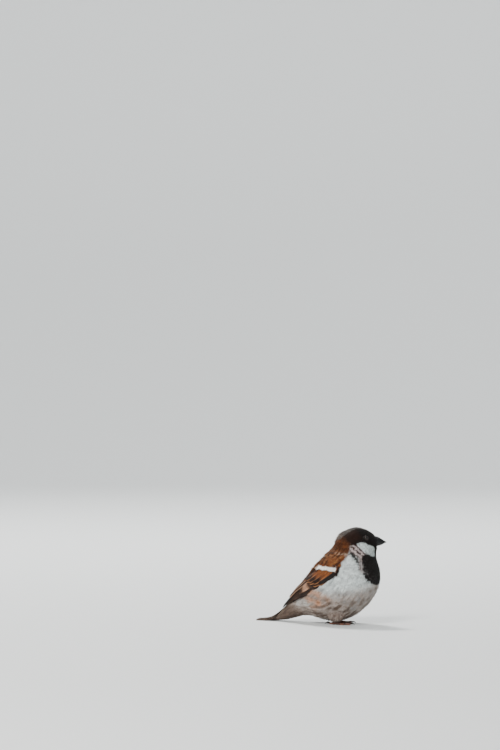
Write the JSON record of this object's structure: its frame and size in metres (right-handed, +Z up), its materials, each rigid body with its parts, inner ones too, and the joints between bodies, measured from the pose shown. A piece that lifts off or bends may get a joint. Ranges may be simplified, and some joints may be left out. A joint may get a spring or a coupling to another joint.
{
  "type": "house sparrow",
  "caption": "Perched adult male house sparrow, fluffed up with its head turned to the left and its tail laid on the surface.",
  "frame": {"origin": "on the floor under the middle of the bird's whole box", "axes": "+X the way the body faces, +Y the bird's left, +Z up"},
  "size_m": [0.126, 0.0526, 0.0894],
  "materials": {
    "crown_and_nape": "grey crown and chestnut nape feathers, matt",
    "belly_feathers": "soft off-white feathers, matt",
    "chestnut_feathers": "chestnut and black streaked feathers, matt",
    "flight_feathers": "dark brown flight feathers, satin",
    "leg_scales": "reddish-brown scales, satin",
    "black_horn": "blue-black horn, satin",
    "eye": "dark brown, wet gloss"
  },
  "bodies": {
    "root": {"head": "crown_and_nape", "neck": "crown_and_nape", "trunk": "belly_feathers", "tail_coverts": "belly_feathers", "tail": "flight_feathers", "wing_left": "chestnut_feathers", "wing_right": "chestnut_feathers", "wing_tip_left": "flight_feathers", "wing_tip_right": "flight_feathers", "bill_upper": "black_horn", "bill_lower": "black_horn", "eye_left": "eye", "eye_right": "eye", "thigh_left": "belly_feathers", "thigh_right": "belly_feathers", "foot_left": "leg_scales", "foot_right": "leg_scales", "claw_inner_left": "black_horn", "claw_middle_left": "black_horn", "claw_outer_left": "black_horn", "claw_hind_left": "black_horn", "claw_inner_right": "black_horn", "claw_middle_right": "black_horn", "claw_outer_right": "black_horn", "claw_hind_right": "black_horn"}
  },
  "joints": []
}
